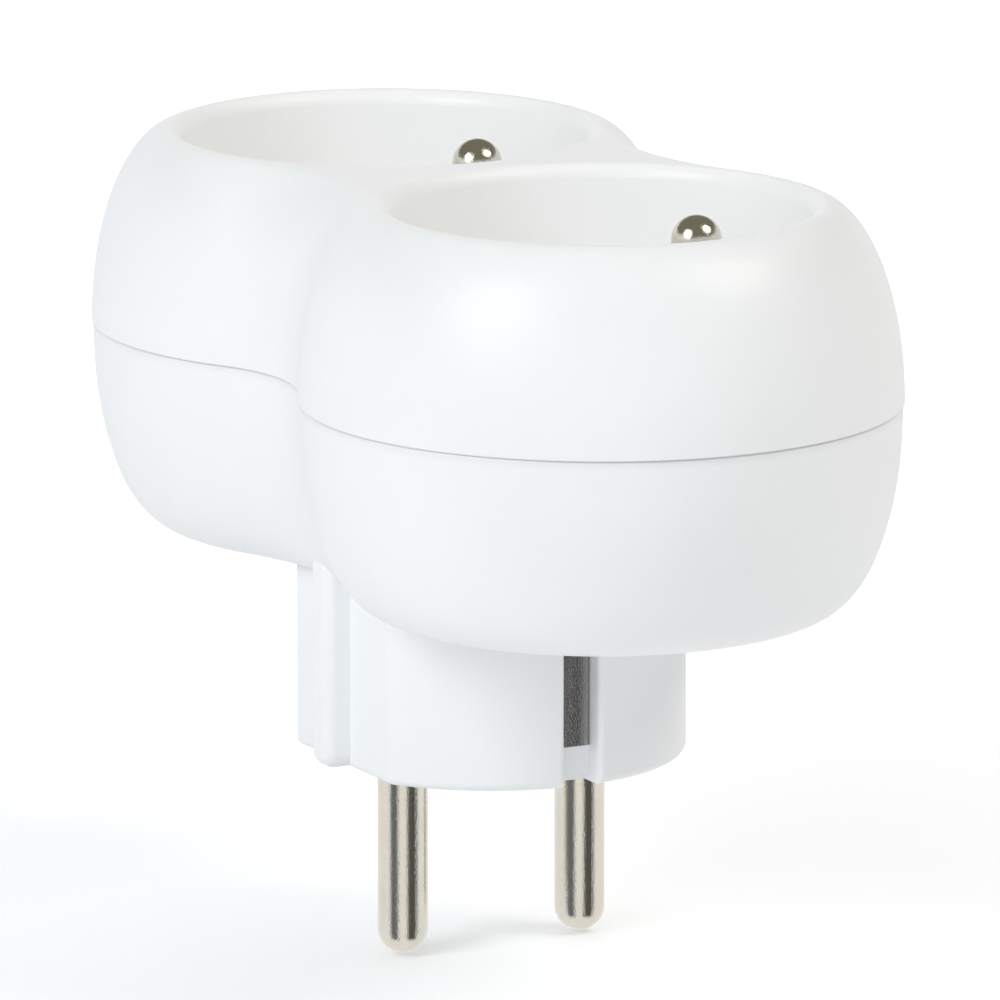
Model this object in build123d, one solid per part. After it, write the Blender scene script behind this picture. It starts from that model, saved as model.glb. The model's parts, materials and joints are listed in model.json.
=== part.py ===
from build123d import *
import math
import os

# Two-way adapter: two round earthed sockets side by side on one earthed plug.
# +Z is the way the sockets face, X runs through the two socket centres, and
# Y runs through the two round plug pins. Z = 0 is the face of the plug.

# Sizes fixed by the plug and socket standard
pin_d = 4.8
pin_pitch = 19.0
pin_length = 19.0
earth_offset = 10.0
earth_pin_reach = 14.0
well_r = 19.5
well_depth = 16.0
plug_r = 18.5

# Outer form of the casing
lobe_pitch = 44.0
lobe_r = 28.2
lobe_foot_r = 19.3
waist_blend_r = 16.0
waist_rim_blend_r = 28.2
waist_foot_blend_r = 39.0
plug_height = 18.0
seam_z = 37.9
rim_z = 56.4
rim_round = 1.3
rim_land = 0.1
shoulder_power = 1.1
belly_power = 0.85
seam_step = 0.1
seam_round = 0.3
wall = 2.4
floor_t = 2.0

# Plug body
face_t = 3.2
face_round = 0.8
guide_cut = 2.55
guide_rib_w = 3.6
guide_rib_round = 1.1
guide_end_round = 1.5
side_slot_w = 3.6
side_slot_depth = 2.0
side_slot_round = 0.5
side_foot_z = 3.5
side_foot_lift = 0.7
side_foot_back = 1.2
side_wall = 1.9
earth_hole_r = 2.7

# Socket wells
cup_wall = 1.8
well_floor_t = 2.0
socket_hole_r = 2.7
socket_hole_lead = 0.3

# Turned pins
pin_collar = 0.2
flange_over = 1.2
plug_flange_h = 1.5
earth_flange_h = 1.2
tail_r = 2.0
neck_r = 1.5
upset_over = 0.7
upset_h = 0.8

# Sheet metal parts
strip_t = 0.8
strip_w = 3.2
bend_r = 0.6
bar_w = 5.0
earth_bar_w = 6.0
earth_bar_drop = 1.5
leg_w = 4.0
leg_y = 1.6
foot_y = 2.4
leaf_t = 0.5
leaf_slit = 1.6
leaf_root = 1.0
contact_drop = 0.8
flare_h = 1.2
flare_out = 0.6
stub_r = 1.2
sleeve_play = 0.1
bridge_drop = 1.0
rivet_r = 1.0
rivet_head_r = 1.7
rivet_head_h = 0.6
rivet_y = 0.4

# Fastening
screw_r = 1.5
screw_head_r = 2.6
screw_head_h = 1.8
screw_sink = 1.0
screw_slot = 0.8
screw_slot_l = 3.0
screw_slot_h = 1.0
screw_bite = 0.45
boss_wall = 1.3
boss_gap = 0.4
boss_h = 4.4
guide_wall = 1.0
guide_drop = 2.0

# Shutters, their springs and retainers
shutter_t = 1.7
shutter_cover = 0.5
shutter_hub_wall = 0.95
shutter_ramp = 1.1
stud_r = 2.4
stud_step = 0.9
stake_step = 0.2
stake_h = 0.7
peg_r = 0.5
spring_wire_r = 0.25
spring_turns = 2.5
spring_leg = 3.0
coil_air = 0.05
retainer_t = 1.2
retainer_wall = 1.0

# Clearances, and how far a cut runs past the face that it opens
fit = 0.05
gap = 0.3
seat_gap = 0.2
lip_h = 1.8
lip_t = 0.8
over = 1.0

# Values that follow from the sizes above
pin_r = pin_d / 2
collar_r = pin_r + pin_collar
flange_r = pin_r + flange_over
upset_r = neck_r + upset_over
half_pitch = lobe_pitch / 2
pin_y = pin_pitch / 2
lobe_rim_r = well_r + rim_round + rim_land
side_slot_x = plug_r - side_slot_depth
guide_flat_y = plug_r - guide_cut
well_floor_z = rim_z - well_depth
well_under_z = well_floor_z - well_floor_t
floor_z = plug_height + floor_t - seat_gap
bar_top_z = floor_z + strip_t
hollow_x = side_slot_x - strip_t - fit - side_wall
hollow_y = guide_flat_y - wall
flange_top_z = face_t + plug_flange_h
bridge_z = plug_height - bridge_drop
bridge_top_z = bridge_z + strip_t
foot_top_z = bridge_top_z + strip_t
sleeve_r = pin_r + sleeve_play
sleeve_z = face_t + gap
shutter_top_z = well_under_z - seat_gap
shutter_z = shutter_top_z - shutter_t
blade_r = socket_hole_r + shutter_cover
hub_r = stud_r + fit + shutter_hub_wall
coil_r = hub_r + gap + spring_wire_r
coil_pitch = 2 * spring_wire_r + coil_air
coil_h = coil_pitch * spring_turns + 2 * spring_wire_r
retainer_top_z = shutter_z - coil_h - 2 * seat_gap
retainer_z = retainer_top_z - retainer_t
skirt_in_r = pin_y + blade_r + gap
skirt_r = skirt_in_r + retainer_wall
peg_x = coil_r + spring_leg - peg_r - gap
peg_y = peg_r + spring_wire_r + 2 * fit
contact_r = pin_r + fit
contact_top_z = retainer_z - contact_drop
guide_top_z = contact_top_z - guide_drop
earth_bar_z = retainer_z - earth_bar_drop
earth_bar_top_z = earth_bar_z + strip_t
cover_boss_r = screw_r + boss_wall
base_boss_r = screw_head_r + seat_gap + boss_wall
screw_y = skirt_r + boss_gap + cover_boss_r
head_seat_z = plug_height + screw_head_h + screw_sink
base_boss_top_z = head_seat_z + boss_h
cover_boss_z = base_boss_top_z + gap
screw_top_z = cover_boss_z + screw_bite * (well_under_z - cover_boss_z)


def waist_half_width(radius, blend_r):
    """Half width between two lobes that a concave arc of this radius joins."""
    return math.sqrt((radius + blend_r) ** 2 - half_pitch**2) - blend_r


waist_y = waist_half_width(lobe_r, waist_blend_r)


def lobed_outline(radius, waist):
    """Two round lobes joined by a waist, drawn as four tangent arcs."""
    waist_r = (half_pitch**2 + waist**2 - radius**2) / (2 * (radius - waist))
    centre_y = waist + waist_r
    span = radius + waist_r
    tx = half_pitch * waist_r / span
    ty = centre_y * radius / span
    end = half_pitch + radius
    arcs = [
        ThreePointArc((tx, ty), (end, 0), (tx, -ty)),
        ThreePointArc((tx, -ty), (0, -waist), (-tx, -ty)),
        ThreePointArc((-tx, -ty), (-end, 0), (-tx, ty)),
        ThreePointArc((-tx, ty), (0, waist), (tx, ty)),
    ]
    return make_face(Wire(arcs))


def barrel(end_r, end_blend_r, end_z, power, inset=0.0, seam_inset=0.0):
    """Half of the barrel-sided casing, from the seam to one flat end."""
    end_waist = waist_half_width(end_r, end_blend_r)
    swell_r = lobe_r - seam_inset - end_r
    swell_waist = waist_y - seam_inset - end_waist
    sections = []
    steps = 6
    for step in range(steps + 1):
        t = math.pi / 2 * step / steps
        swell = max(math.cos(t), 0) ** power
        radius = end_r + swell_r * swell - inset
        waist = end_waist + swell_waist * swell - inset
        z = seam_z + (end_z - seam_z) * math.sin(t)
        sections.append(Pos(0, 0, z) * lobed_outline(radius, waist))
    return loft(sections)


def rod(x, y, radius, z0, z1):
    """Upright round rod between two heights."""
    return Pos(x, y, z0) * Cylinder(
        radius, z1 - z0, align=(Align.CENTER, Align.CENTER, Align.MIN)
    )


def block(x0, x1, y0, y1, z0, z1):
    """Box between two corners."""
    centre = Pos((x0 + x1) / 2, (y0 + y1) / 2, (z0 + z1) / 2)
    return centre * Box(abs(x1 - x0), abs(y1 - y0), abs(z1 - z0))


def ring_of_outline(outer_inset, inner_inset, z0, z1):
    """Upright wall that follows the casing outline at the seam."""
    outer = lobed_outline(lobe_r - outer_inset, waist_y - outer_inset)
    inner = lobed_outline(lobe_r - inner_inset, waist_y - inner_inset)
    return Pos(0, 0, z0) * extrude(outer - inner, amount=z1 - z0)


def socket_places():
    """Centres of the four live contact holes."""
    return [(s * half_pitch + t * pin_y, 0) for s in (-1, 1) for t in (-1, 1)]


def screw_places():
    """Centres of the four case screws."""
    return [(s * half_pitch, t * screw_y) for s in (-1, 1) for t in (-1, 1)]


# Upper casing with the two socket wells
def make_top_cover():
    outer = barrel(lobe_rim_r, waist_rim_blend_r, rim_z, shoulder_power)
    cavity = barrel(lobe_rim_r, waist_rim_blend_r, rim_z - wall, shoulder_power, wall)
    cover = outer - cavity
    for s in (-1, 1):
        cover += rod(s * half_pitch, 0, well_r + cup_wall, well_under_z, rim_z - wall / 2)
    for s in (-1, 1):
        cover -= rod(s * half_pitch, 0, well_r, well_floor_z, rim_z + over)
    mouths = cover.edges().filter_by(GeomType.CIRCLE).filter_by(
        lambda e: abs(e.radius - well_r) < 0.01 and abs(e.center().Z - rim_z) < 0.01
    )
    cover = fillet(mouths, rim_round)
    lip_out = wall - lip_t - gap
    cover -= ring_of_outline(lip_out, wall + over, seam_z - over, seam_z + lip_h + gap)
    for s in (-1, 1):
        cover += cover_stud(s * half_pitch)
        cover -= rod(s * half_pitch, earth_offset, collar_r + fit, 0, rim_z)
    for x, y in screw_places():
        cover += rod(x, y, cover_boss_r, cover_boss_z, well_under_z)
        cover -= rod(x, y, screw_r + fit, 0, screw_top_z + over)
    for x, y in socket_places():
        cover -= rod(x, y, socket_hole_r, 0, rim_z)
        cover -= Pos(x, y, well_floor_z - socket_hole_lead / 2) * Cone(
            socket_hole_r, socket_hole_r + socket_hole_lead, socket_hole_lead
        )
    return cover


def cover_stud(x):
    """Stud that the shutter turns on, with its staked end under the retainer."""
    stud = rod(x, 0, stud_r, retainer_top_z, well_under_z)
    stud += rod(x, 0, stud_r - stud_step, retainer_z, retainer_top_z)
    return stud + rod(x, 0, stud_r - stake_step, retainer_z - stake_h, retainer_z)


# Lower casing with the plug body
def plug_body():
    """Round plug body with guide flats and ribs, earth slots and a soft face."""
    height = plug_height + wall
    disc = rod(0, 0, plug_r, 0, height)
    disc = fillet(disc.edges().sort_by(Axis.Z)[0], face_round)
    slab = block(-2 * plug_r, 2 * plug_r, -guide_flat_y, guide_flat_y, 0, height)
    low_edges = slab.edges().filter_by(Axis.X).sort_by(Axis.Z)[:2]
    slab = fillet(low_edges, face_round)
    slotted = Circle(plug_r)
    slot_d = plug_r - side_slot_x + over
    for s in (-1, 1):
        slotted -= Pos(s * (side_slot_x + slot_d / 2), 0) * Rectangle(slot_d, side_slot_w)
    mouths = slotted.vertices().filter_by(lambda v: abs(v.X) > side_slot_x + fit)
    slotted = fillet(mouths, side_slot_round)
    return (disc & slab & extrude(slotted, amount=height)) + guide_rib(height)


def guide_rib(height):
    """Bar across the plug body whose two ends are the guide ribs on its flats."""
    half = guide_rib_w / 2
    rib = block(-half, half, -plug_r, plug_r, 0, height)
    rib = fillet(rib.edges().filter_by(Axis.Z), guide_rib_round)
    return fillet(rib.edges().group_by(Axis.Z)[0], guide_end_round)


def make_base_housing():
    outer = barrel(lobe_foot_r, waist_foot_blend_r, plug_height, belly_power, 0, seam_step)
    seam_edges = outer.edges().filter_by(
        lambda e: abs(e.center().Z - seam_z) < 0.01
    )
    outer = fillet(seam_edges, seam_round)
    cavity = barrel(lobe_foot_r, waist_foot_blend_r, floor_z, belly_power, wall)
    mouth = lobed_outline(lobe_r - wall, waist_y - wall)
    cavity += Pos(0, 0, seam_z) * extrude(mouth, amount=over)
    hollow = Circle(plug_r - wall) & Rectangle(2 * hollow_x, 2 * hollow_y)
    base = outer + plug_body() - cavity
    base -= Pos(0, 0, face_t) * extrude(hollow, amount=seam_z)
    base += ring_of_outline(wall - lip_t, wall, seam_z - lip_h, seam_z + lip_h)
    for x, y in screw_places():
        base += rod(x, y, base_boss_r, floor_z - seat_gap, base_boss_top_z)
        base -= rod(x, y, screw_head_r + seat_gap, 0, head_seat_z)
        base -= rod(x, y, screw_r + seat_gap, 0, base_boss_top_z + over)
    for s in (-1, 1):
        base -= rod(0, s * pin_y, collar_r + fit, -over, face_t + over)
    base -= rod(earth_offset, 0, earth_hole_r, -over, face_t + over)
    for x, side in contact_sides():
        base += contact_guide(x, side)
    return base - earth_bracket_room()


def contact_sides():
    """Each contact hole's x and the side its bar comes from."""
    return [(p[0], -1 if i % 2 == 0 else 1) for i, p in enumerate(socket_places())]


def contact_guide(x, side):
    """Insulating wall round a contact, open where its bar comes in."""
    inner = flange_r + gap
    outer = inner + guide_wall
    low = floor_z - over
    high = guide_top_z + over
    wall_round = block(x - outer, x + outer, -outer, outer, floor_z, guide_top_z)
    open_side = block(x - inner, x + inner, -inner, inner, low, high)
    open_side += block(x - inner, x + inner, 0, side * (outer + over), low, high)
    return wall_round - open_side


def earth_bracket_room():
    """Pockets in the plug sides for the legs of the earth bracket, and the cut
    under each foot of the side slots."""
    half = side_slot_w / 2
    leg_x = side_slot_x - strip_t - fit
    leg_top = plug_height + seat_gap
    window_low = bridge_z - bend_r - gap
    room = block(hollow_x - over, leg_x + over, -half, half, window_low, floor_z + over)
    room += block(leg_x, side_slot_x + over, -half, half, side_foot_z, leg_top)
    room += block(side_slot_x - side_foot_back, plug_r, -half, half, -over, side_foot_lift)
    return room + room.rotate(Axis.Z, 180)


# Plug pins and the block that holds them
def turned_stem(x, y, levels):
    """Turned stem made of stacked diameters, each given with its top height."""
    stem = Part()
    low = levels[0]
    for radius, high in levels[1:]:
        stem += rod(x, y, radius, low, high)
        low = high
    return stem


def make_plug_pin(side):
    y = side * pin_y
    shoulder = pin_r - pin_length
    levels = [shoulder, (pin_r, 0), (collar_r, face_t), (flange_r, flange_top_z)]
    levels += [(tail_r, floor_z), (neck_r, bar_top_z), (upset_r, bar_top_z + upset_h)]
    return turned_stem(0, y, levels) + Pos(0, y, shoulder) * Sphere(pin_r)


def make_pin_holder():
    outline = Circle(plug_r - wall - gap)
    outline &= Rectangle(2 * (hollow_x - gap), 2 * (hollow_y - gap))
    holder = Pos(0, 0, flange_top_z) * extrude(outline, amount=floor_z - flange_top_z)
    for s in (-1, 1):
        holder -= rod(0, s * pin_y, tail_r + fit, 0, floor_z + over)
    top = floor_z + over
    holder -= rod(earth_offset, 0, flange_r + gap, 0, top)
    channel = strip_w / 2 + gap
    holder -= block(-plug_r, plug_r, -channel, channel, bridge_z, top)
    half = leg_w / 2 + gap
    holder -= block(-half, half, -foot_y - gap, leg_y + strip_t + gap, bridge_z, top)
    return holder - rod(0, -rivet_y, rivet_head_r + gap, bridge_z - rivet_head_h - gap, top)


# Earth path: side bracket, sleeve, rivet, bar and the two socket pins
def make_earth_bracket():
    """Strap across the plug whose two bent legs are the side contacts."""
    strap = Polyline(
        (-side_slot_x, side_foot_z),
        (-side_slot_x, bridge_top_z),
        (side_slot_x, bridge_top_z),
        (side_slot_x, side_foot_z),
    )
    outside = make_face(Wire([*strap.edges(), Line(strap @ 1, strap @ 0)]))
    inner_h = bridge_z - side_foot_z + over
    inside = Pos(0, bridge_z - inner_h / 2) * Rectangle(2 * (side_slot_x - strip_t), inner_h)
    outside = fillet(outside.vertices().group_by(Axis.Y)[-1], bend_r + strip_t)
    inside = fillet(inside.vertices().group_by(Axis.Y)[-1], bend_r)
    section = Plane.XZ * (outside - inside)
    bracket = extrude(section, amount=strip_w / 2, both=True)
    bracket += rod(earth_offset, 0, flange_r, bridge_z, bridge_top_z)
    return bracket - rod(0, -rivet_y, rivet_r + fit, 0, bridge_top_z + over)


def make_earth_sleeve():
    """Split sleeve under the bracket that takes the wall socket's earth pin."""
    outer = sleeve_r + leaf_t
    root_z = bridge_z - leaf_t - leaf_root
    sleeve = rod(earth_offset, 0, outer, sleeve_z, bridge_z)
    sleeve += rod(earth_offset, 0, flange_r, bridge_z - leaf_t, bridge_z)
    sleeve -= rod(earth_offset, 0, sleeve_r, 0, bridge_z - leaf_t)
    half = leaf_slit / 2
    x0, x1 = earth_offset - outer - over, earth_offset + outer + over
    return sleeve - block(x0, x1, -half, half, sleeve_z - over, root_z)


def make_earth_bar():
    half = leg_w / 2
    leg_back = leg_y + strip_t
    plan = flat_strip(-half_pitch, earth_offset, half_pitch, earth_offset, earth_bar_w)
    bar = Pos(0, 0, earth_bar_z) * extrude(plan, amount=strip_t)
    bar += block(-half, half, leg_y, earth_offset, earth_bar_z, earth_bar_top_z)
    bar += block(-half, half, leg_y, leg_back, bridge_top_z, earth_bar_top_z)
    bar += block(-half, half, -foot_y, leg_back, bridge_top_z, foot_top_z)
    bar = fillet(bar.edges().filter_by(Axis.X).filter_by(is_outer_bend), bend_r)
    for s in (-1, 1):
        bar -= rod(s * half_pitch, earth_offset, neck_r + fit, 0, rim_z)
    return bar - rod(0, -rivet_y, rivet_r + fit, 0, foot_top_z + over)


def is_outer_bend(edge):
    """True for the two outside corners where the earth bar's leg is bent."""
    c = edge.center()
    upper = abs(c.Y - leg_y) < fit and abs(c.Z - earth_bar_top_z) < fit
    lower = abs(c.Y - leg_y - strip_t) < fit and abs(c.Z - bridge_top_z) < fit
    return upper or lower


def make_earth_rivet():
    levels = [bridge_z - rivet_head_h, (rivet_head_r, bridge_z), (rivet_r, foot_top_z)]
    levels += [(rivet_head_r, foot_top_z + rivet_head_h)]
    return turned_stem(0, -rivet_y, levels)


def make_earth_pin(side):
    x = side * half_pitch
    tip = well_floor_z + earth_pin_reach - pin_r
    levels = [earth_bar_z - upset_h, (upset_r, earth_bar_z), (neck_r, earth_bar_top_z)]
    levels += [(tail_r, well_under_z - earth_flange_h), (flange_r, well_under_z)]
    levels += [(collar_r, well_floor_z), (pin_r, tip)]
    return turned_stem(x, earth_offset, levels) + Pos(x, earth_offset, tip) * Sphere(pin_r)


# Live path: a bar for each pole and one split sleeve in each hole
def flat_strip(x0, y0, x1, y1, width):
    """Plan of a flat strip with round ends, from one point to another."""
    length = math.hypot(x1 - x0, y1 - y0)
    angle = math.degrees(math.atan2(y1 - y0, x1 - x0))
    strip = SlotCenterToCenter(length, width)
    return Pos((x0 + x1) / 2, (y0 + y1) / 2) * Rot(0, 0, angle) * strip


def make_live_bar(side):
    """Bar of one pole; side is -1 for the line bar and 1 for the neutral bar."""
    y = side * pin_y
    far = side * (half_pitch + pin_y)
    near = -side * (half_pitch - pin_y)
    plan = flat_strip(near, y, far, y, bar_w)
    plan += flat_strip(far, y, far, 0, bar_w) + flat_strip(near, y, near, 0, bar_w)
    bar = Pos(0, 0, floor_z) * extrude(plan, amount=strip_t)
    bar -= rod(0, y, neck_r + fit, 0, rim_z)
    for x in (far, near):
        bar -= rod(x, 0, stub_r + fit, 0, rim_z)
    return bar


def make_contact(x):
    """Split sleeve that grips a plug pin, with a flared mouth."""
    base_top = bar_top_z + leaf_t
    neck_z = contact_top_z - flare_h
    outer = contact_r + leaf_t
    sleeve = rod(x, 0, outer, bar_top_z, neck_z) - rod(x, 0, contact_r, base_top, rim_z)
    flare = Pos(x, 0, neck_z + flare_h / 2) * Cone(outer, outer + flare_out, flare_h)
    flare -= Pos(x, 0, neck_z + flare_h / 2) * Cone(contact_r, contact_r + flare_out, flare_h)
    sleeve += flare
    half = leaf_slit / 2
    reach = outer + flare_out + over
    slit_z = base_top + leaf_root
    sleeve -= block(x - reach, x + reach, -half, half, slit_z, contact_top_z + over)
    sleeve += rod(x, 0, flange_r, bar_top_z, base_top)
    return sleeve + rod(x, 0, stub_r, floor_z, bar_top_z)


# Shutters, their springs and the plates that hold them under the wells
def make_shutter(side):
    x = side * half_pitch
    blade = extrude(SlotCenterToCenter(2 * pin_y, 2 * blade_r), amount=shutter_t)
    shutter = Pos(0, 0, shutter_z) * blade
    shutter += rod(0, 0, hub_r, retainer_top_z + seat_gap, shutter_top_z)
    shutter += rod(-peg_x, peg_y, peg_r, retainer_top_z + gap, shutter_z)
    shutter -= rod(0, 0, stud_r + fit, 0, rim_z)
    ramp = ramp_wedge()
    shutter -= ramp
    shutter -= ramp.rotate(Axis.Z, 180)
    return Pos(x, 0, 0) * shutter


def ramp_wedge():
    """Wedge cut from the top of a blade, so that a pushed pin turns it aside."""
    low = shutter_top_z - shutter_ramp
    high = shutter_top_z + over
    edge = blade_r + fit
    wedge = Polyline(
        (-edge, low), (blade_r / 2, shutter_top_z), (blade_r / 2, high), (-edge, high), close=True
    )
    face = Plane.YZ * make_face(wedge)
    return Pos(pin_y - blade_r, 0, 0) * extrude(face, amount=2 * blade_r + over)


def make_spring(side):
    x = side * half_pitch
    z = retainer_top_z + seat_gap + spring_wire_r
    path = Helix(coil_pitch, coil_pitch * spring_turns, coil_r)
    start = Plane(origin=path @ 0, z_dir=path % 0)
    coil = sweep(start * Circle(spring_wire_r), path=path, is_frenet=True)
    low_leg = Pos(coil_r, 0, 0) * Rot(0, 90, 0) * leg_wire()
    top_leg = Pos(-coil_r, 0, coil_pitch * spring_turns) * Rot(0, -90, 0) * leg_wire()
    return Pos(x, 0, z) * (coil + low_leg + top_leg)


def leg_wire():
    """Straight end of a spring, along +Z from the origin."""
    return Cylinder(spring_wire_r, spring_leg, align=(Align.CENTER, Align.CENTER, Align.MIN))


def make_retainer(side):
    x = side * half_pitch
    plate = rod(0, 0, skirt_r, retainer_z, well_under_z)
    plate -= rod(0, 0, skirt_in_r, retainer_top_z, well_under_z + over)
    plate += rod(peg_x, peg_y, peg_r, retainer_top_z, shutter_z - gap)
    plate -= rod(0, 0, stud_r - stud_step + fit, 0, rim_z)
    for s in (-1, 1):
        plate -= rod(s * pin_y, 0, socket_hole_r + gap, 0, rim_z)
    bite = flange_r + gap
    plate -= rod(0, earth_offset, bite, 0, rim_z)
    plate -= block(-bite, bite, earth_offset, skirt_r + over, 0, rim_z)
    return Pos(x, 0, 0) * plate


# Case screws
def make_screw(x, y):
    low = head_seat_z - screw_head_h
    head = rod(x, y, screw_head_r, low, head_seat_z)
    head = fillet(head.edges().sort_by(Axis.Z)[0], screw_head_h / 3)
    shank = rod(x, y, screw_r, head_seat_z, screw_top_z)
    shank = chamfer(shank.edges().sort_by(Axis.Z)[-1], screw_r / 2)
    slot = Pos(x, y, low) * Box(screw_slot, screw_slot_l, 2 * screw_slot_h)
    cross = Pos(x, y, low) * Box(screw_slot_l, screw_slot, 2 * screw_slot_h)
    return head + shank - slot - cross


def all_pieces():
    """Every physical piece, by the name of its node."""
    pieces = {
        "top_cover": make_top_cover(),
        "base_housing": make_base_housing(),
        "pin_holder": make_pin_holder(),
        "plug_pin_line": make_plug_pin(-1),
        "plug_pin_neutral": make_plug_pin(1),
        "earth_bracket": make_earth_bracket(),
        "earth_sleeve": make_earth_sleeve(),
        "earth_rivet": make_earth_rivet(),
        "earth_bar": make_earth_bar(),
        "line_bar": make_live_bar(-1),
        "neutral_bar": make_live_bar(1),
    }
    poles = ("line", "neutral")
    for i, (x, _) in enumerate(socket_places()):
        well = "left" if x < 0 else "right"
        pieces[f"contact_{poles[i % 2]}_{well}"] = make_contact(x)
    for side, well in ((-1, "left"), (1, "right")):
        pieces[f"earth_pin_{well}"] = make_earth_pin(side)
        pieces[f"shutter_{well}"] = make_shutter(side)
        pieces[f"shutter_spring_{well}"] = make_spring(side)
        pieces[f"shutter_retainer_{well}"] = make_retainer(side)
    for i, (x, y) in enumerate(screw_places()):
        pieces[f"case_screw_{i + 1}"] = make_screw(x, y)
    return pieces


os.makedirs("parts", exist_ok=True)
for name, solid in all_pieces().items():
    export_step(solid, f"parts/{name}.step")
    print(name, len(solid.solids()), round(solid.volume, 1), solid.is_valid)
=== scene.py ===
import json
import math

import bpy
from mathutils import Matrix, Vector


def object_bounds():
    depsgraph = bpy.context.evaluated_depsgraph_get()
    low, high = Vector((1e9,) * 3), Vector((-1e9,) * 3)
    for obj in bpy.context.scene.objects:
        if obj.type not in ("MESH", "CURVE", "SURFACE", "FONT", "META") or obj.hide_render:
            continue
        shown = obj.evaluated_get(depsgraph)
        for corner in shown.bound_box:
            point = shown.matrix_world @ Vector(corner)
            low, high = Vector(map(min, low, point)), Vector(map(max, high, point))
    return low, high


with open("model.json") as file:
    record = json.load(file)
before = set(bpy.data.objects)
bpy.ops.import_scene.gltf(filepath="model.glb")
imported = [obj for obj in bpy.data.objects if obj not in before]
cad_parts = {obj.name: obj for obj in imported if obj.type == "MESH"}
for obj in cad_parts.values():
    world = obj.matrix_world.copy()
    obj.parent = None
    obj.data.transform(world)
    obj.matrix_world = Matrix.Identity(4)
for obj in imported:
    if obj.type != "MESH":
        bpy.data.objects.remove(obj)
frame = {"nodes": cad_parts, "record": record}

CAD_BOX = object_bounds()

# Sizes in metres
MM = 0.001
CENTRE = (CAD_BOX[0] + CAD_BOX[1]) / 2

# Camera, from the photograph: where it stands round the object and what it aims at
CAMERA_TURN = math.radians(-27.68)
CAMERA_LIFT = math.radians(12.04)
CAMERA_DISTANCE = 1.11496
CAMERA_PIVOT = Vector((0, 0, 28)) * MM
AIM_RIGHT = 0.81 * MM
AIM_UP = -3.87 * MM
SENSOR = 36.0
FOCAL = 423.96
CLIP_NEAR = 0.01
CLIP_FAR = 50

# Joint between the two shells: its height, the reach and depth of the painted shadow below it,
# and the half width and depth of the painted shade in its line
SEAM_Z = 37.9 * MM
SEAM_SHADE_REACH = 0.95 * MM
SEAM_SHADE_DEPTH = 0.09
SEAM_SHADE_LINE_HALF = 0.12 * MM
SEAM_SHADE_LINE_DEPTH = 0.16

# The two wells, whose walls get painted light: a lighter colour that stands in for the light
# that thin plastic lets through
WELL_X = 22 * MM
WELL_IN = 19.6 * MM
WELL_OUT = 21.0 * MM
WELL_UNDER = 40.0 * MM
WELL_FLOOR = 40.3 * MM

# Colours, linear
BLACK = (0.0, 0.0, 0.0, 1.0)
WHITE_PLASTIC = (0.935, 0.942, 0.953)
WELL_PAINTED_LIGHT = (0.985, 0.985, 0.988)
INNER_PLASTIC = (0.70, 0.70, 0.68)
SHUTTER_PLASTIC = (0.78, 0.79, 0.79)
NICKEL_WARM = (0.76, 0.69, 0.60)
NICKEL_COOL = (0.67, 0.675, 0.60)
STAMPED_WARM = (0.47, 0.455, 0.43)
STAMPED_COOL = (0.44, 0.45, 0.45)
BRASS = (0.78, 0.57, 0.27)
SPRING_STEEL = (0.50, 0.51, 0.53)
ZINC_STEEL = (0.62, 0.63, 0.66)

# Plastic: noise scales, in turns per metre, and bump heights in metres
PLASTIC_IOR = 1.5
TONE_SCALE = 45.0
TONE_LOW, TONE_HIGH = 0.985, 1.01
SKIN_SCALE = 160.0
GRAIN_SCALE = 2600.0
GRAIN_HEIGHT = 0.00003
WAVE_SCALE = 120.0
WAVE_STRENGTH = 0.06
WAVE_HEIGHT = 0.0002

# Metal: noise scales, how much lines and streaks are drawn out along Z, and bump heights
PATCH_SCALE = 260.0
PATCH_DEPTH = 0.06
LINE_SCALE = 3200.0
LINE_STRETCH = (1.0, 1.0, 0.06)
LINE_HEIGHT = 0.00001
STREAK_SCALE = 900.0
STREAK_STRETCH = (1.0, 1.0, 0.03)
SPECKLE_SCALE = 5200.0
SPECKLE_ROUGHNESS = 0.7
SPECKLE_DEPTH = 0.10
SPECKLE_START, SPECKLE_END = 0.55, 0.75
SPECKLE_HEIGHT = 0.00005

# Floor: half size, colour, and how its white for the camera grows with the distance
FLOOR_HALF = 8.0
FLOOR_Z = CAD_BOX[0].z - 0.2 * MM
FLOOR_COLOUR = (0.92, 0.925, 0.935)
GLOW_NEAR, GLOW_FAR = 0.24, 0.60
GLOW_START, GLOW_END = 0.05, 0.28

# Boards: uprights (name, turn from the camera, half width, tone) and a ceiling
UPRIGHTS = (
    ("left", -40.5, 0.36, (0.17, 0.185, 0.205)),
    ("right", 45, 0.50, (0.115, 0.11, 0.105)),
)
UPRIGHT_DISTANCE = 1.1
UPRIGHT_MIDDLE_Z = -0.5
UPRIGHT_HALF_HEIGHT = 0.6
CEILING_Z = 1.3
CEILING_HALF = 3.4
CEILING_TONE = (0.22, 0.21, 0.17)

# World: the light that fills the room, and the white that the camera and mirrors see
FILL_COLOUR = (0.97, 0.985, 1.0)
FILL_STRENGTH = 0.425
WHITE = (1.0, 1.0, 1.0)

# Softboxes: name, turn from the camera, lift, distance, width, power, colour, mirrored
SOFTBOXES = (
    ("key_left", -47, 33, 1.2, 0.62, 5.0, (0.96, 1.0, 1.0), True),
    ("key_right", 72, 48, 1.2, 0.56, 4.0, (1.0, 0.955, 0.85), True),
    ("front", -20, 12, 1.3, 0.80, 1.7, (0.84, 0.92, 1.0), False),
    ("rear", 180, 50, 1.3, 0.80, 2.6, (1.0, 1.0, 1.0), False),
)


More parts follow.
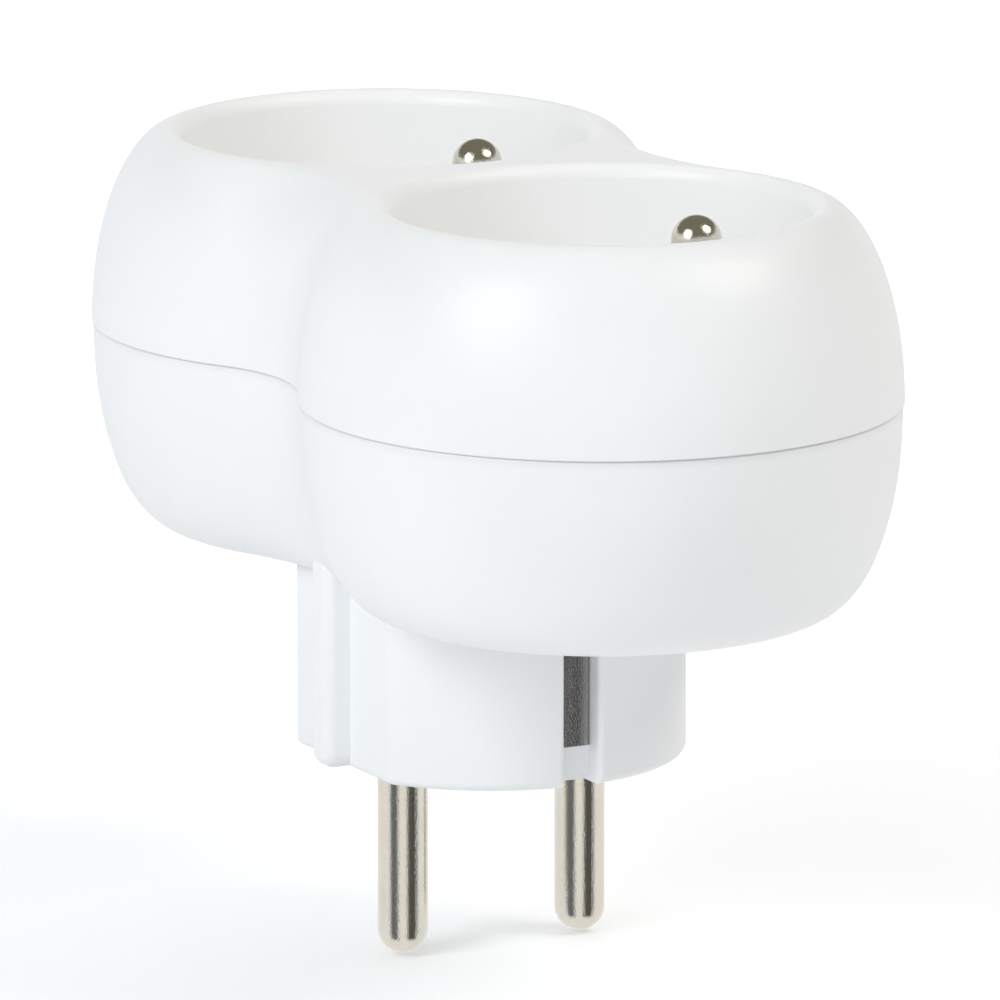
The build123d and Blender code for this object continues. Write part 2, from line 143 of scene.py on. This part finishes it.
# Node helpers
class Nodes:
    """Short ways to add and link the nodes of one material or world."""

    def __init__(self, tree):
        self.tree = tree
        tree.nodes.clear()

    def add(self, kind, **values):
        node = self.tree.nodes.new(kind)
        for key, value in values.items():
            setattr(node, key, value)
        return node

    def link(self, source, target):
        self.tree.links.new(source, target)

    def put(self, socket, value):
        """Set a socket to a number or colour, or link it to another socket."""
        if isinstance(value, bpy.types.NodeSocket):
            self.link(value, socket)
        else:
            socket.default_value = value

    def noise(self, place, scale, detail, roughness=0.55):
        node = self.add("ShaderNodeTexNoise")
        self.link(place, node.inputs["Vector"])
        node.inputs["Scale"].default_value = scale
        node.inputs["Detail"].default_value = detail
        node.inputs["Roughness"].default_value = roughness
        return node.outputs["Fac"]

    def spread(self, value, low, high, start=0.3, end=0.7):
        """Map a value from one range onto another; the start and end fit a noise value."""
        node = self.add("ShaderNodeMapRange")
        self.link(value, node.inputs["Value"])
        node.inputs["From Min"].default_value = start
        node.inputs["From Max"].default_value = end
        node.inputs["To Min"].default_value = low
        node.inputs["To Max"].default_value = high
        return node.outputs["Result"]

    def blend(self, share, first, second):
        """Mix two colours."""
        node = self.add("ShaderNodeMix", data_type="RGBA")
        self.put(node.inputs[0], share)
        self.put(node.inputs[6], first)
        self.put(node.inputs[7], second)
        return node.outputs[2]

    def maths(self, operation, *values):
        node = self.add("ShaderNodeMath", operation=operation)
        for socket, value in zip(node.inputs, values):
            self.put(socket, value)
        return node.outputs[0]

    def axes(self, place):
        node = self.add("ShaderNodeSeparateXYZ")
        self.link(place, node.inputs["Vector"])
        return node.outputs

    def bump(self, height, strength, distance, normal=None):
        node = self.add("ShaderNodeBump")
        node.inputs["Strength"].default_value = strength
        node.inputs["Distance"].default_value = distance
        self.link(height, node.inputs["Height"])
        if normal is not None:
            self.link(normal, node.inputs["Normal"])
        return node.outputs["Normal"]

    def sight(self):
        """Whether the camera or a mirroring surface sees it, and whether it shows in glass."""
        path = self.add("ShaderNodeLightPath")
        rays = path.outputs["Is Camera Ray"], path.outputs["Is Glossy Ray"]
        return self.maths("MAXIMUM", *rays), path.outputs["Is Transmission Ray"]


def rgba(colour, gain=1.0):
    return tuple(min(c * gain, 1.0) for c in colour) + (1.0,)


def new_material(name):
    material = bpy.data.materials.new(name)
    material.use_nodes = True
    nodes = Nodes(material.node_tree)
    return material, nodes, nodes.add("ShaderNodeOutputMaterial")


def new_surface(name):
    """A material with one principled shader, and the object coordinates for its noise."""
    material, nodes, out = new_material(name)
    shader = nodes.add("ShaderNodeBsdfPrincipled")
    nodes.link(shader.outputs["BSDF"], out.inputs["Surface"])
    place = nodes.add("ShaderNodeTexCoord").outputs["Object"]
    return material, nodes, shader, place


def stretched(nodes, place, scale):
    """Object coordinates with their own scale along each axis."""
    node = nodes.add("ShaderNodeMapping")
    nodes.link(place, node.inputs["Vector"])
    node.inputs["Scale"].default_value = scale
    return node.outputs["Vector"]


# Painted shade and painted light on the casing, placed by its shape
def painted_seam_shade(nodes, place, colour):
    """Painted shade: darken a colour in the joint line and, fading downwards, just under it,
    where the upper shell's edge shades the lower one.
    """
    z = nodes.axes(place)["Z"]
    below = nodes.spread(z, 0.0, SEAM_SHADE_DEPTH, SEAM_Z - SEAM_SHADE_REACH, SEAM_Z)
    line = nodes.spread(z, 0.0, SEAM_SHADE_LINE_DEPTH, SEAM_Z - SEAM_SHADE_LINE_HALF, SEAM_Z)
    above = nodes.spread(z, 1.0, 0.0, SEAM_Z, SEAM_Z + SEAM_SHADE_LINE_HALF)
    share = nodes.maths("MULTIPLY", nodes.maths("ADD", below, line), above)
    return nodes.blend(share, colour, BLACK)


def painted_well_light(nodes, place, colour):
    """Painted light: lighten a colour inside the wells."""
    x, y, z = nodes.axes(place)
    side = nodes.maths("SUBTRACT", nodes.maths("ABSOLUTE", x), WELL_X)
    squares = [nodes.maths("MULTIPLY", value, value) for value in (side, y)]
    away = nodes.maths("SQRT", nodes.maths("ADD", *squares))
    inside = nodes.spread(away, 1.0, 0.0, WELL_IN, WELL_OUT)
    above = nodes.spread(z, 0.0, 1.0, WELL_UNDER, WELL_FLOOR)
    return nodes.blend(nodes.maths("MULTIPLY", inside, above), colour, rgba(WELL_PAINTED_LIGHT))


# Moulded plastic: a faint flow of tone, a satin skin and a very fine grain
def moulded(name, colour, rough, grain, is_casing=False):
    material, nodes, shader, place = new_surface(name)
    tone = nodes.spread(nodes.noise(place, TONE_SCALE, 4.0), 0.0, 1.0)
    colour = nodes.blend(tone, rgba(colour, TONE_LOW), rgba(colour, TONE_HIGH))
    # On the casing only: painted shade at the shells' joint and painted light in the wells
    if is_casing:
        colour = painted_well_light(nodes, place, painted_seam_shade(nodes, place, colour))
    nodes.link(colour, shader.inputs["Base Color"])
    skin = nodes.noise(place, SKIN_SCALE, 5.0)
    nodes.link(nodes.spread(skin, *rough), shader.inputs["Roughness"])
    normal = nodes.bump(nodes.noise(place, GRAIN_SCALE, 2.0), grain, GRAIN_HEIGHT)
    wave = nodes.noise(place, WAVE_SCALE, 2.0)
    normal = nodes.bump(wave, WAVE_STRENGTH, WAVE_HEIGHT, normal)
    nodes.link(normal, shader.inputs["Normal"])
    shader.inputs["IOR"].default_value = PLASTIC_IOR
    return material


# Metal: streaks of two tints, dark speckle, drawn lines along Z and a few rubbed patches
def metal(name, warm, cool, rough, speckle, lines):
    material, nodes, shader, place = new_surface(name)
    patch = nodes.noise(place, PATCH_SCALE, 4.0)
    drawn = nodes.noise(stretched(nodes, place, LINE_STRETCH), LINE_SCALE, 3.0)
    streak = nodes.noise(stretched(nodes, place, STREAK_STRETCH), STREAK_SCALE, 2.0)
    tint = nodes.blend(nodes.spread(streak, 0.0, 1.0), rgba(warm), rgba(cool))
    grain = nodes.noise(place, SPECKLE_SCALE, 2.0, SPECKLE_ROUGHNESS)
    worn = nodes.spread(patch, 0.0, PATCH_DEPTH)
    dots = nodes.spread(grain, 0.0, SPECKLE_DEPTH, SPECKLE_START, SPECKLE_END)
    colour = nodes.blend(nodes.maths("ADD", worn, dots), tint, BLACK)
    nodes.link(colour, shader.inputs["Base Color"])
    shader.inputs["Metallic"].default_value = 1.0
    halves = [nodes.maths("MULTIPLY", value, 0.5) for value in (drawn, patch)]
    rub = nodes.maths("ADD", *halves)
    nodes.link(nodes.spread(rub, *rough), shader.inputs["Roughness"])
    normal = nodes.bump(grain, speckle, SPECKLE_HEIGHT)
    normal = nodes.bump(drawn, lines, LINE_HEIGHT, normal)
    nodes.link(normal, shader.inputs["Normal"])
    return material


# One finish for each material slot of the record: colours, roughness range and bumps
def finishes():
    return {
        "casing": moulded("white_casing", WHITE_PLASTIC, (0.34, 0.44), 0.10, True),
        "inner_plastic": moulded("inner_plastic", INNER_PLASTIC, (0.45, 0.60), 0.20),
        "shutter_plastic": moulded("shutter_plastic", SHUTTER_PLASTIC, (0.40, 0.50), 0.15),
        "nickel": metal("nickel_plate", NICKEL_WARM, NICKEL_COOL, (0.06, 0.14), 0.50, 0.10),
        "brass": metal("brass_strip", BRASS, BRASS, (0.18, 0.32), 0.06, 0.25),
        "spring_steel": metal(
            "spring_wire", SPRING_STEEL, SPRING_STEEL, (0.20, 0.35), 0.06, 0.15
        ),
        "screw_steel": metal("zinc_steel", ZINC_STEEL, ZINC_STEEL, (0.20, 0.34), 0.08, 0.10),
    }


def dress(finish_of):
    """Give each node its slot's finish; the stamped earth strap is duller than the pins."""
    for part in frame["record"]["subparts"]:
        piece = frame["nodes"][part["node"]]
        piece.data.materials.clear()
        piece.data.materials.append(finish_of[part["material_slot"]])
    stamped = metal("stamped_nickel", STAMPED_WARM, STAMPED_COOL, (0.10, 0.22), 0.9, 0.10)
    frame["nodes"]["earth_bracket"].data.materials[0] = stamped


# Camera at the photograph's place
def outward(turn, lift):
    """The unit vector that leaves the object at a turn and a lift."""
    level = math.cos(lift)
    return Vector((level * math.cos(turn), level * math.sin(turn), math.sin(lift)))


def add_camera():
    back = outward(CAMERA_TURN, CAMERA_LIFT)
    right = Vector((-math.sin(CAMERA_TURN), math.cos(CAMERA_TURN), 0))
    up = back.cross(right)
    place = CAMERA_PIVOT + back * CAMERA_DISTANCE
    aim = CAMERA_PIVOT + right * AIM_RIGHT + up * AIM_UP
    data = bpy.data.cameras.new("camera")
    data.sensor_width = SENSOR
    data.lens = FOCAL
    data.clip_start = CLIP_NEAR
    data.clip_end = CLIP_FAR
    camera = bpy.data.objects.new("camera", data)
    camera.location = place
    camera.rotation_euler = (aim - place).to_track_quat("-Z", "Y").to_euler()
    bpy.context.scene.collection.objects.link(camera)
    bpy.context.scene.camera = camera


# Stage: softboxes, floor, boards that only mirroring surfaces see, and the world
def around(turn_from_camera, lift, distance):
    """A point round the object; turns are from the camera, to the right of the picture."""
    turn = CAMERA_TURN + math.radians(turn_from_camera)
    return CENTRE + outward(turn, math.radians(lift)) * distance


def add_softbox(name, turn, lift, distance, width, power, colour, mirrored):
    data = bpy.data.lights.new(name, "AREA")
    data.shape = "DISK"
    data.size = width
    data.energy = power
    data.color = colour
    lamp = bpy.data.objects.new(name, data)
    lamp.location = around(turn, lift, distance)
    lamp.rotation_euler = (CENTRE - lamp.location).to_track_quat("-Z", "Y").to_euler()
    lamp.visible_glossy = mirrored
    bpy.context.scene.collection.objects.link(lamp)


def add_panel(name, centre, half_width, half_height, normal, material):
    mesh = bpy.data.meshes.new(name)
    corners = [(-1, -1), (1, -1), (1, 1), (-1, 1)]
    points = [(x * half_width, y * half_height, 0) for x, y in corners]
    mesh.from_pydata(points, [], [(0, 1, 2, 3)])
    mesh.materials.append(material)
    panel = bpy.data.objects.new(name, mesh)
    panel.location = centre
    panel.rotation_euler = normal.to_track_quat("Z", "Y").to_euler()
    bpy.context.scene.collection.objects.link(panel)
    return panel


def floor_material():
    """Pale floor that turns to plain white, for the camera, away from the object."""
    material, nodes, out = new_material("pale_floor")
    matt = nodes.add("ShaderNodeBsdfDiffuse")
    matt.inputs["Color"].default_value = rgba(FLOOR_COLOUR)
    away = nodes.add("ShaderNodeVectorMath", operation="LENGTH")
    nodes.link(nodes.add("ShaderNodeTexCoord").outputs["Object"], away.inputs[0])
    level = nodes.spread(away.outputs["Value"], GLOW_NEAR, GLOW_FAR, GLOW_START, GLOW_END)
    seen, _ = nodes.sight()
    glow = nodes.add("ShaderNodeEmission")
    nodes.link(nodes.maths("MULTIPLY", seen, level), glow.inputs["Strength"])
    both = nodes.add("ShaderNodeAddShader")
    nodes.link(matt.outputs[0], both.inputs[0])
    nodes.link(glow.outputs[0], both.inputs[1])
    nodes.link(both.outputs[0], out.inputs["Surface"])
    return material


def add_floor():
    """Floor just under the pins; metal doesn't mirror it, so that the boards show there."""
    centre = Vector((0, 0, FLOOR_Z))
    up = Vector((0, 0, 1))
    floor = add_panel("floor", centre, FLOOR_HALF, FLOOR_HALF, up, floor_material())
    floor.visible_glossy = False


def board_material(name, tone):
    """Even tone, whatever light falls on it."""
    material, nodes, out = new_material(name)
    glow = nodes.add("ShaderNodeEmission")
    glow.inputs["Color"].default_value = rgba(tone)
    nodes.link(glow.outputs[0], out.inputs["Surface"])
    return material


def add_board(name, spot, half_width, half_height, normal, tone):
    """Board that is only there for what mirrors it."""
    material = board_material(f"{name}_tone", tone)
    board = add_panel(name, spot, half_width, half_height, normal, material)
    board.visible_camera = False
    board.visible_diffuse = False
    board.visible_transmission = False
    board.visible_shadow = False


def add_boards():
    """Dark uprights beside the camera for the plug pins, and a dim ceiling for the domes."""
    for name, turn, half_width, tone in UPRIGHTS:
        spot = around(turn, 0, UPRIGHT_DISTANCE)
        spot.z = UPRIGHT_MIDDLE_Z
        level = Vector((CENTRE.x - spot.x, CENTRE.y - spot.y, 0))
        add_board(f"dark_upright_{name}", spot, half_width, UPRIGHT_HALF_HEIGHT, level, tone)
    spot = Vector((0, 0, CEILING_Z))
    down = Vector((0, 0, -1))
    add_board("dim_ceiling", spot, CEILING_HALF, CEILING_HALF, down, CEILING_TONE)


def set_world():
    """Even fill light, and plain white for the camera and for what mirrors or lets through."""
    world = bpy.data.worlds.new("studio")
    bpy.context.scene.world = world
    world.use_nodes = True
    nodes = Nodes(world.node_tree)
    mix = nodes.add("ShaderNodeMixShader")
    nodes.link(nodes.maths("MAXIMUM", *nodes.sight()), mix.inputs[0])
    levels = ((FILL_COLOUR, FILL_STRENGTH), (WHITE, 1.0))
    for socket, (colour, strength) in zip(mix.inputs[1:], levels):
        light = nodes.add("ShaderNodeBackground")
        light.inputs["Color"].default_value = rgba(colour)
        light.inputs["Strength"].default_value = strength
        nodes.link(light.outputs[0], socket)
    nodes.link(mix.outputs[0], nodes.add("ShaderNodeOutputWorld").inputs["Surface"])


dress(finishes())
add_camera()
add_floor()
add_boards()
set_world()
for softbox in SOFTBOXES:
    add_softbox(*softbox)
bpy.context.scene.view_settings.view_transform = "Standard"
